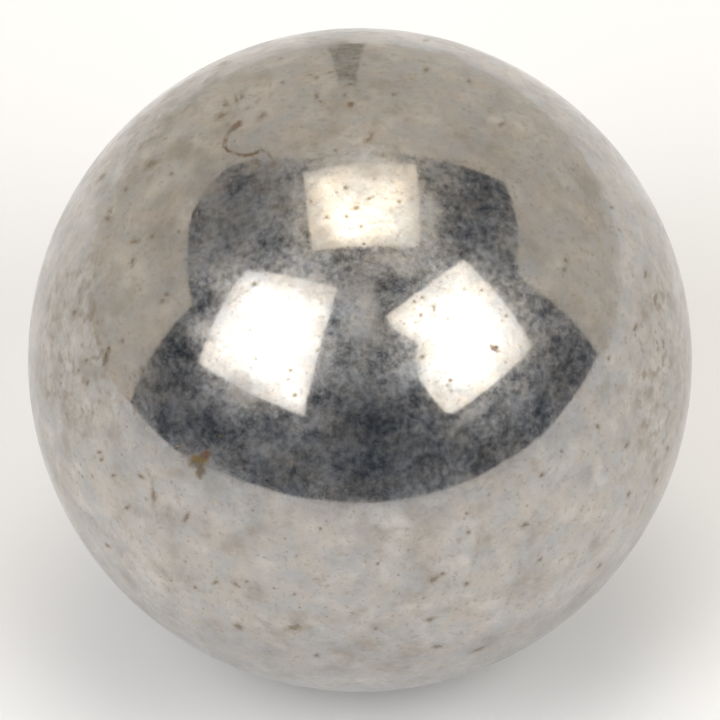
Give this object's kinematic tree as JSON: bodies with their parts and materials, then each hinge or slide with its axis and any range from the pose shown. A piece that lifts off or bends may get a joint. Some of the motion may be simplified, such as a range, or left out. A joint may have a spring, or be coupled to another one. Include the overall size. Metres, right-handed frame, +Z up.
{
  "type": "steel ball",
  "caption": "Solid polished steel ball with a worn, lightly pitted and rust-marked skin, for rolling, for seating in a socket or detent, or for use as a small weight.",
  "frame": {"origin": "centre of the ball", "axes": "+Z up, away from the point that the ball is seated on; every axis through the centre is alike"},
  "size_m": [0.0254, 0.0254, 0.0254],
  "materials": {
    "steel": "polished"
  },
  "bodies": {
    "root": {"ball": "steel"}
  },
  "joints": []
}
